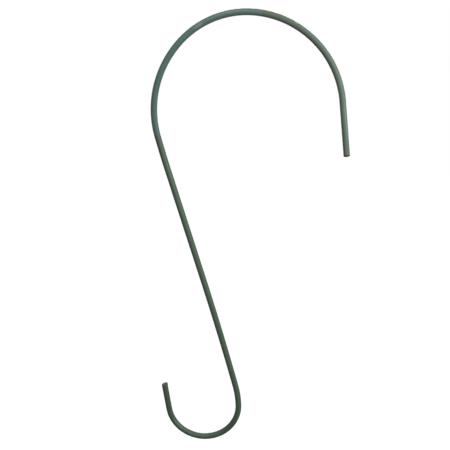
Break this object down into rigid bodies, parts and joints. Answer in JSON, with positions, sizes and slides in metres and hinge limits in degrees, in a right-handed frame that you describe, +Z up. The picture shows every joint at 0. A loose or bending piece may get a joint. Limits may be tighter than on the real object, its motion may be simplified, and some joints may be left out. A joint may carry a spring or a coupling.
{
  "type": "branch hook",
  "caption": "Bent round-rod hook: a wide crown hangs over a tree branch, a leaning shank drops from it, and a small upturned hook carries a planter by its ring.",
  "frame": {"origin": "the branch seat: the flat inside the top of the crown, where the hook hangs on a branch", "axes": "+Z up along the line of pull, from the planter seat to the branch seat; the rod is bent in the XZ plane, with +X towards the open side of the crown; Y runs across the rod"},
  "size_m": [0.2022, 0.0064, 0.4599],
  "materials": {
    "steel": "satin",
    "green_coating": "satin"
  },
  "bodies": {
    "root": {"steel_rod": "steel", "green_coating": "green_coating"}
  },
  "joints": []
}
